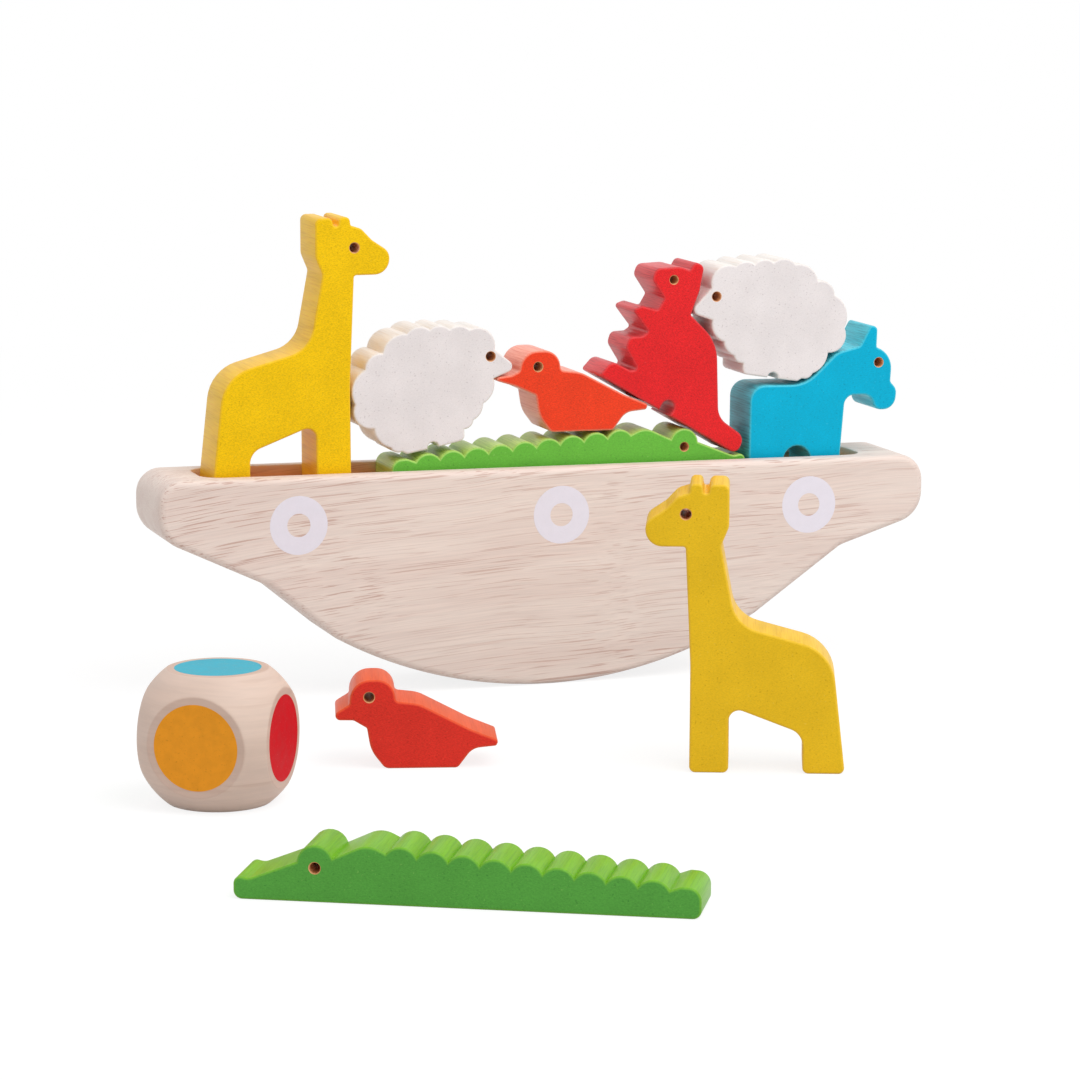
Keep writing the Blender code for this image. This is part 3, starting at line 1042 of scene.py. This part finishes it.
# The hull's wood is darker towards its bottom as painted shade
HULL_WOOD = BareWood(
    "rubberwood", pale=(242, 225, 215), warm=(236, 216, 206), pore=(188, 140, 124), cut_and_shade=(255, 205, 145),
    grain=(0.027, 1.7, 1.9), swing=-4.0, arch=0.00016, dashes=0.62, shade_foot=0.9,
)
DIE_WOOD = BareWood(
    "rubberwood", pale=(228, 204, 190), warm=(217, 190, 174), pore=(194, 160, 140), cut_and_shade=(242, 236, 234),
    grain=(0.03, 0.03, 0.4), dashes=0.25,
)
DRILLED_WOOD = BareWood(
    "drilled", pale=(238, 178, 126), warm=(214, 150, 100), pore=(170, 112, 72), cut_and_shade=(255, 255, 255),
    grain=(0.9, 0.2, 0.9),
)
PORTHOLE_INK = DotPaint("ink", (239, 233, 243), speck=(230, 222, 233), cloudy=0.012, specks=0.3)


# Pieces


def adopt(obj: bpy.types.Object, body: str, node: str = "") -> None:
    """Tie a finished piece to its body and, if given, hide the CAD node that it stands for.

    Args:
        obj: The finished piece.
        body: Body that it rides on.
        node: CAD node that it replaces.
    """
    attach(obj, body)
    if node:
        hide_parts(node)
    LOG.info("%s: %d faces, rides on %s", obj.name, len(obj.data.polygons), body)


@dataclass
class Animal:
    """A flat animal sawn from painted board, with a drilled eye of x, z and radius."""

    node: str
    table: Table
    eye: Triple
    stain: Stain
    spot: Spot
    facing: Facing = Facing.AS_CUT
    thickness: float = SLAB
    edge: float = SLAB_EDGE

    def shell(self) -> Shell:
        """Carry the rim round the saw line, drill the eye and fill both faces.

        The eye is four rings of radius r or r plus the chamfer, at the two faces and just inside them.

        Returns:
            The animal in its own millimetres.
        """
        half = self.thickness / 2.0
        line = saw_line(self.table) * (self.facing.value, 1.0)
        line = line if self.facing is Facing.AS_CUT else line[::-1]
        rings, side = board_rings(line, half, self.edge)
        count, body = rings.shape[1], rings.shape[0] * rings.shape[1]
        x, z, radius = self.eye
        bore = np.array(
            [
                (radius + EYE_CHAMFER, -half),
                (radius, EYE_CHAMFER - half),
                (radius, half - EYE_CHAMFER),
                (radius + EYE_CHAMFER, half),
            ]
        )
        inside = np.abs(bore[:, 1]) < half
        wall = turned(bore, EYE_SIDES)[..., [0, 2, 1]] + (x * self.facing.value, 0.0, z)
        points = np.concatenate([rings.reshape(-1, 3), wall.reshape(-1, 3)])
        skin = ring_quads(rings.shape[0], count)
        hole = ring_quads(len(bore), EYE_SIDES, body)
        front = [np.arange(count), body + np.arange(EYE_SIDES)]
        back = [body - count + np.arange(count), len(points) - EYE_SIDES + np.arange(EYE_SIDES)]
        faces = fill(points, front) + fill(points, back) + skin.tolist()
        slots = [SKIN_SLOT] * len(faces) + [EYE_SLOT] * len(hole)
        shares = np.concatenate([side.ravel(), np.repeat(inside.astype(float), EYE_SIDES)])
        values = {"side": shares, "cut_and_shade": np.zeros(len(points))}
        return Shell(points, faces + hole.tolist(), slots, values)

    def build(self) -> None:
        """Make the animal's mesh, dress it and tie it to its body."""
        place, stain = self.spot.value, self.stain.value
        obj = self.shell().to_object(f"{self.node}_board", place)
        obj.data.materials.append(stain.material(self.node, place))
        obj.data.materials.append(DRILLED_WOOD.material(f"{self.node}_eye", place))
        adopt(obj, self.node, self.node)


@dataclass
class Hull:
    """The rocking hull: one thick board with a tray routed into its top and three printed rings.

    A shoulder is the corner (x, z, radius) between a raised end and the keel. The wood of the tray
    takes its full routed tone, partly painted shade in the recess, from cut_and_shade_share of the
    tray's depth on.
    """

    width: float = 40.0
    edge: float = 2.5
    rim_height: float = 81.6
    left: float = -152.0
    right: float = 147.0
    left_round: float = 9.0
    right_round: float = 10.0
    left_base: float = 60.6
    right_base: float = 58.5
    base_round: float = 12.0
    left_shoulder: Triple = (-110.8, 41.6, 12.0)
    right_shoulder: Triple = (113.8, 47.6, 10.0)
    keel_radius: float = 165.0
    keel_x: float = -4.7
    keel_half_angle: float = math.radians(30.0)
    tray_left: float = -134.0
    tray_right: float = 124.8
    tray_width: float = 27.0
    tray_corner: float = 8.0
    tray_edge: float = 0.5
    tray_cove: float = 0.8
    cut_and_shade_share: float = 0.25
    side_steps: int = 60
    ring_spots: tuple[float, ...] = (-100.2, 0.7, 99.8)
    ring_height: float = 64.0
    ring_radius: float = 10.85
    ring_hole: float = 4.35
    ink: float = INK

    def table(self) -> Table:
        """Corner table of the side view: the keel is one arc whose lowest point touches the table.

        Returns:
            Corner rows, counter-clockwise from the top right.
        """
        centre = (self.keel_radius + self.keel_x * math.sin(ROCK)) / math.cos(ROCK)
        ends = []
        for angle in (ROCK - self.keel_half_angle, ROCK + self.keel_half_angle):
            x = self.keel_x + self.keel_radius * math.sin(angle)
            ends.append((x, centre - self.keel_radius * math.cos(angle), 0.0))
        rise = self.keel_radius * (1.0 - math.cos(self.keel_half_angle))
        return (
            (self.right, self.rim_height, self.right_round),
            (self.left, self.rim_height, self.left_round),
            (self.left, self.left_base, self.base_round),
            self.left_shoulder,
            (*ends[0], rise),
            ends[1],
            self.right_shoulder,
            (self.right, self.right_base, self.base_round),
        )

    def tray_rings(self) -> np.ndarray:
        """Rings of the tray from its rounded lip down the wall to the cove at the floor.

        The lip is a quarter circle turning in, the cove a quarter circle turning in further.

        Returns:
            (rings, n, 3) points, each ring clockwise seen from below.
        """
        half = self.tray_width / 2.0
        corners = (
            (self.tray_left, -half, self.tray_corner),
            (self.tray_right, -half, self.tray_corner),
            (self.tray_right, half, self.tray_corner),
            (self.tray_left, half, self.tray_corner),
        )
        line = saw_line(corners, self.side_steps)
        angle = np.linspace(0.0, math.pi / 2.0, EDGE_STEPS + 1)
        lip_in = -self.tray_edge * (1.0 - np.sin(angle))
        lip_z = self.rim_height - self.tray_edge * (1.0 - np.cos(angle))
        cove_in = self.tray_cove * (1.0 - np.cos(angle))
        cove_z = TRAY_FLOOR + self.tray_cove * (1.0 - np.sin(angle))
        inset, height = np.concatenate([lip_in, cove_in]), np.concatenate([lip_z, cove_z])
        flat = line[None] + inset[:, None, None] * mitre(line)[None]
        tall = np.broadcast_to(height[:, None, None], (*flat.shape[:2], 1))
        return np.concatenate([flat, tall], 2)

    def shell(self) -> Shell:
        """Carry the rim round the side view, open its top for the tray and fill the flats.

        Returns:
            The hull in the boat's own millimetres.
        """
        line = saw_line(self.table(), self.side_steps)
        rings, side = board_rings(line, self.width / 2.0, self.edge)
        count, body = rings.shape[1], rings.shape[0] * rings.shape[1]
        tray = self.tray_rings()
        lip = tray.shape[1]
        points = np.concatenate([rings.reshape(-1, 3), tray.reshape(-1, 3)])
        skin = ring_quads(rings.shape[0], count)
        first, last = FILLET_STEPS - 1, FILLET_STEPS + self.side_steps
        front, back = EDGE_STEPS * count, (EDGE_STEPS + 1) * count
        open_top = (skin[:, 0] >= front + first) & (skin[:, 0] < front + last)
        skin = skin[~open_top]
        top = np.arange(first, last + 1)
        deck = [np.concatenate([front + top, back + top[::-1]]), body + np.arange(lip)]
        faces = fill(points, [np.arange(count)]) + fill(points, [body - count + np.arange(count)])
        faces += fill(points, deck) + fill(points, [len(points) - lip + np.arange(lip)])
        faces += skin.tolist() + ring_quads(tray.shape[0], lip, body).tolist()
        # Partly painted shade: the tray's walls take the darker routed tone from just below the lip down
        depth = np.clip((self.rim_height - tray[..., 2]) / (self.rim_height - TRAY_FLOOR), 0.0, 1.0)
        share = np.where(depth > 0.0, 1.0, 0.0)
        shares = np.concatenate([side.ravel(), share.ravel()])
        cut_and_shade = np.concatenate([np.zeros(body), np.clip(depth.ravel() / self.cut_and_shade_share, 0.0, 1.0)])
        return Shell(points, faces, [SKIN_SLOT] * len(faces), {"side": shares, "cut_and_shade": cut_and_shade})

    def ring_shell(self) -> Shell:
        """A thin washer of ink: a box profile turned about the porthole's axis, flat side out.

        Returns:
            The washer about its own centre.
        """
        profile = np.array(
            [
                (self.ring_hole, 0.0),
                (self.ring_hole, self.ink),
                (self.ring_radius, self.ink),
                (self.ring_radius, 0.0),
            ]
        )
        points = turned(profile).reshape(-1, 3)[:, [0, 2, 1]] * (1.0, -1.0, 1.0)
        faces = ring_quads(len(profile) + 1, TURN_STEPS) % len(points)
        values = {"side": np.ones(len(points))}
        return Shell(points, faces.tolist(), [SKIN_SLOT] * len(faces), values)

    def build(self) -> None:
        """Make the hull and its portholes, dress them and tie them to the hull's body."""
        place = in_boat(0.0, 0.0)
        hull = self.shell().to_object("boat_hull_board", place)
        hull.data.materials.append(HULL_WOOD.material("boat_hull", place))
        adopt(hull, "boat_hull", "boat_hull")
        for number, x in enumerate(self.ring_spots, 1):
            spot = in_boat(x, self.ring_height)
            spot = Place(spot.x, -self.width / 2.0, spot.z, spot.lean)
            ring = self.ring_shell().to_object(f"porthole_ring_{number}", spot)
            ring.data.materials.append(PORTHOLE_INK.material(ring.name, spot))
            adopt(ring, "boat_hull")


@dataclass
class ColourDie:
    """A cube rounded by a ball, with a painted dot on each flat.

    Points of neighbouring faces are merged where they agree to merge_digits decimals, and a point
    within flat_slack of the cube's face belongs to a flat.
    """

    place: Place = Spot.DIE.value
    size: float = 44.5
    flat_radius: float = 16.7
    flat_rings: int = 5
    flat_slack: float = 0.01
    crease: float = 0.3
    bands: int = 14
    merge_digits: int = 3
    dot_radius: float = 14.2
    ink: float = INK

    def face_rings(self) -> np.ndarray:
        """Rings of the +Z face: the flat, a small blend and the ball out to the cube's diagonals.

        Beyond the flat the lean from the axis runs from the flat's rim to atan(1 / m), where m is the
        larger of |cos t| and |sin t|; the point lies at that lean on the ball.

        Returns:
            (rings, TURN_STEPS, 3) points about the die's centre.
        """
        half = self.size / 2.0
        ball = math.hypot(half, self.flat_radius)
        turn = np.linspace(0.0, 2.0 * math.pi, TURN_STEPS, endpoint=False)
        widest = np.maximum(np.abs(np.cos(turn)), np.abs(np.sin(turn)))
        tilt = math.atan2(self.flat_radius, half) + self.crease / ball
        lean = tilt + (np.arctan(1.0 / widest) - tilt) * np.linspace(0.0, 1.0, self.bands + 1)[:, None]
        reach = np.linspace(0.0, self.flat_radius - self.crease, self.flat_rings)
        flat = reach[:, None] * np.ones(TURN_STEPS)
        radius = np.concatenate([flat, ball * np.sin(lean)])
        height = np.concatenate([np.full_like(flat, half), ball * np.cos(lean)])
        return np.stack([radius * np.cos(turn), radius * np.sin(turn), height], 2)

    def turns(self) -> tuple[np.ndarray, ...]:
        """Turns that carry the +Z face to +Z, -Z, +X, -X, +Y and -Y.

        Returns:
            Six (3, 3) turns.
        """
        x, y, z = np.eye(3)
        rows = ((x, y, z), (x, -y, -z), (-z, y, x), (z, y, -x), (x, -z, y), (x, z, -y))
        return tuple(np.stack(row, 1) for row in rows)

    def shell(self) -> Shell:
        """Six turned copies of one face, whose shared rims are merged.

        Returns:
            The die standing on its base.
        """
        half = self.size / 2.0
        centre = (0.0, 0.0, half)
        rings = self.face_rings()
        one = rings.reshape(-1, 3)
        points = np.concatenate([one @ turn.T for turn in self.turns()]) + centre
        quads = ring_quads(rings.shape[0], TURN_STEPS)
        faces = np.concatenate([quads + i * len(one) for i in range(len(self.turns()))])
        rounded = np.round(points, self.merge_digits)
        _, first, index = np.unique(rounded, axis=0, return_index=True, return_inverse=True)
        faces = index.reshape(-1)[faces]
        points = points[first]
        kept = [tuple(dict.fromkeys(face)) for face in faces.tolist()]
        reach = np.abs(points - centre).max(1)
        flat = (reach > half - self.flat_slack).astype(float)
        # The die's flats take their sanded tone, partly painted shade
        return Shell(points, kept, [SKIN_SLOT] * len(kept), {"side": 1.0 - flat, "cut_and_shade": flat})

    def dot_shell(self, turn: np.ndarray) -> Shell:
        """A thin disc of paint on one flat, as a low pillbox turned about the face's axis.

        Args:
            turn: Turn that carries +Z to the face.

        Returns:
            The disc where the die stands.
        """
        half = self.size / 2.0
        profile = np.array([(self.dot_radius, half), (self.dot_radius, half + self.ink)])
        points = turned(profile).reshape(-1, 3) @ turn.T + (0.0, 0.0, half)
        faces = ring_quads(len(profile), TURN_STEPS).tolist()
        faces += [tuple(range(TURN_STEPS)), tuple(range(TURN_STEPS, 2 * TURN_STEPS))]
        values = {"side": np.ones(len(points))}
        return Shell(points, faces, [SKIN_SLOT] * len(faces), values)

    def build(self) -> None:
        """Make the die and its dots, dress them and tie them to the die's body."""
        die = self.shell().to_object("colour_die_block", self.place)
        die.data.materials.append(DIE_WOOD.material("colour_die", self.place))
        adopt(die, "colour_die", "colour_die")
        for turn, paint in zip(self.turns(), DieDot):
            dot = self.dot_shell(turn).to_object(f"die_dot_{paint.value.name}", self.place)
            dot.data.materials.append(paint.value.material(dot.name, self.place))
            adopt(dot, "colour_die")


# Studio


@dataclass
class Studio:
    """Pale floor, white surroundings, one overhead softbox and the camera.

    Lengths are in millimetres, apart from the floor's fade, which is in metres from the origin.
    """

    target: Triple = (-0.325, 0.0, 51.353)
    azimuth: float = math.radians(-18.455)
    elevation: float = math.radians(9.488)
    distance: float = 1501.5
    lens: float = 132.843
    sensor: float = 36.0
    floor_half: float = 4000.0
    floor_colour: float = 0.68
    floor_glow: float = 0.83
    floor_seen: float = 0.21
    floor_fade: Ease = Ease(0.35, 1.1)
    sky: float = 0.67
    white: float = 1.0
    lamp_spot: Triple = (375.0, -775.0, 1330.0)
    lamp_size: float = 1200.0
    lamp_power: float = 13.0

    def seen_share(self, sheet: NodeSheet) -> Socket:
        """1 for camera, glossy and transmission rays, otherwise 0.

        Args:
            sheet: Sheet to work on.

        Returns:
            The share socket.
        """
        camera = sheet.add("LightPath", {}, "Is Camera Ray")
        glossy = sheet.add("LightPath", {}, "Is Glossy Ray")
        through = sheet.add("LightPath", {}, "Is Transmission Ray")
        return sheet.most(sheet.most(camera, glossy), through)

    def far_share(self, sheet: NodeSheet) -> Socket:
        """0 on the floor near the object, easing to 1 far away from it.

        Args:
            sheet: Sheet to work on.

        Returns:
            The share socket.
        """
        where = sheet.add("TexCoord", {}, "Object")
        length = sheet.add("VectorMath", {0: where}, "Value", operation="LENGTH")
        return sheet.ease(length, self.floor_fade)

    def floor(self) -> None:
        """A wide floor that reads as white and still takes the object's shadow.

        To the light it is pale paper. To the viewer it is a darker paper that glows, and plain white
        far away.
        """
        reach = self.floor_half * MM
        mesh = bpy.data.meshes.new("studio_floor")
        corners = [(-reach, -reach, 0.0), (reach, -reach, 0.0), (reach, reach, 0.0), (-reach, reach, 0.0)]
        mesh.from_pydata(corners, [], [(0, 1, 2, 3)])
        floor = bpy.data.objects.new("studio_floor", mesh)
        bpy.context.scene.collection.objects.link(floor)
        sheet = MaterialSheet("studio_floor_paper")
        sheet.tree.nodes.remove(sheet.tree.nodes["Principled BSDF"])
        paper = sheet.add("BsdfDiffuse", {"Color": grey(self.floor_colour)})
        darker = sheet.add("BsdfDiffuse", {"Color": grey(self.floor_seen)})
        glow = sheet.add("Emission", {"Strength": self.floor_glow})
        white = sheet.add("Emission", {"Strength": self.white})
        near = sheet.add("AddShader", {0: darker, 1: glow})
        seen = sheet.add("MixShader", {0: self.far_share(sheet), 1: near, 2: white})
        surface = sheet.add("MixShader", {0: self.seen_share(sheet), 1: paper, 2: seen})
        sheet.feed(sheet.tree.nodes["Material Output"].inputs["Surface"], surface)
        mesh.materials.append(sheet.material)

    def world(self) -> None:
        """Soft white light from all round, seen as pure white."""
        world = bpy.data.worlds.new("studio_white")
        bpy.context.scene.world = world
        world.use_nodes = True
        sheet = NodeSheet(world.node_tree)
        inputs = {"Value": self.seen_share(sheet), "To Min": self.sky, "To Max": self.white}
        background = sheet.tree.nodes["Background"]
        sheet.feed(background.inputs["Color"], grey(self.white))
        sheet.feed(background.inputs["Strength"], sheet.add("MapRange", inputs))

    def aim(self, obj: bpy.types.Object, spot: Vector) -> None:
        """Link an object at a spot with its -Z axis pointing at the target.

        Args:
            obj: Lamp or camera.
            spot: Where it stands, in millimetres.
        """
        obj.location = spot * MM
        obj.rotation_euler = (Vector(self.target) - spot).to_track_quat("-Z", "Y").to_euler()
        bpy.context.scene.collection.objects.link(obj)

    def lamp(self) -> None:
        """One large softbox above and to the right."""
        light = bpy.data.lights.new("softbox", "AREA")
        light.size = self.lamp_size * MM
        light.energy = self.lamp_power
        self.aim(bpy.data.objects.new("softbox", light), Vector(self.lamp_spot))

    def camera(self) -> None:
        """The photograph's view: distance, azimuth and elevation about the target."""
        data = bpy.data.cameras.new("camera")
        data.lens, data.sensor_width = self.lens, self.sensor
        level = math.cos(self.elevation)
        away = Vector(
            (math.sin(self.azimuth) * level, -math.cos(self.azimuth) * level, math.sin(self.elevation))
        )
        camera = bpy.data.objects.new("camera", data)
        self.aim(camera, Vector(self.target) + away * self.distance)
        bpy.context.scene.camera = camera

    def build(self) -> None:
        """Set up the floor, the light and the camera."""
        self.floor()
        self.world()
        self.lamp()
        self.camera()
        bpy.context.scene.view_settings.view_transform = "Standard"
        LOG.info("studio: floor, white surroundings, softbox and camera")


def animals() -> tuple[Animal, ...]:
    """The ten animals: seven stacked in the boat, then three on the table.

    Returns:
        The animals in the order in which they are built.
    """
    crocodile = crocodile_table()
    long_beaked = recut(BIRD, BEAK_ROWS, LONG_BEAK)
    low_chinned = recut(SHEEP, CHIN_ROWS, LOW_CHIN)
    back = Facing.TURNED
    return (
        Animal("giraffe_in_boat", GIRAFFE, GIRAFFE_EYE, Stain.YELLOW, Spot.GIRAFFE),
        Animal("crocodile_in_boat", crocodile, CROCODILE_EYE, Stain.GREEN, Spot.CROCODILE),
        Animal("donkey_in_boat", DONKEY, DONKEY_EYE, Stain.BLUE, Spot.DONKEY),
        Animal("sheep_by_giraffe", SHEEP, SHEEP_EYE, Stain.WHITE, Spot.SHEEP),
        Animal("bird_in_boat", long_beaked, BIRD_EYE, Stain.ORANGE, Spot.BIRD),
        Animal("kangaroo_in_boat", KANGAROO, KANGAROO_EYE, Stain.RED, Spot.KANGAROO),
        Animal("sheep_on_donkey", low_chinned, UPPER_SHEEP_EYE, Stain.WHITE, Spot.UPPER_SHEEP, back),
        Animal("giraffe_on_table", GIRAFFE, TABLE_GIRAFFE_EYE, Stain.SHADED_YELLOW, Spot.TABLE_GIRAFFE, back),
        Animal("bird_on_table", BIRD, BIRD_EYE, Stain.SHADED_ORANGE, Spot.TABLE_BIRD),
        Animal("crocodile_on_table", crocodile, CROCODILE_EYE, Stain.SHADED_GREEN, Spot.TABLE_CROCODILE, back),
    )


def main() -> None:
    """Build the toy and its studio."""
    logging.basicConfig(level=logging.INFO, format="%(message)s")
    Hull().build()
    for animal in animals():
        animal.build()
    ColourDie().build()
    Studio().build()


if __name__ == "__main__":
    main()
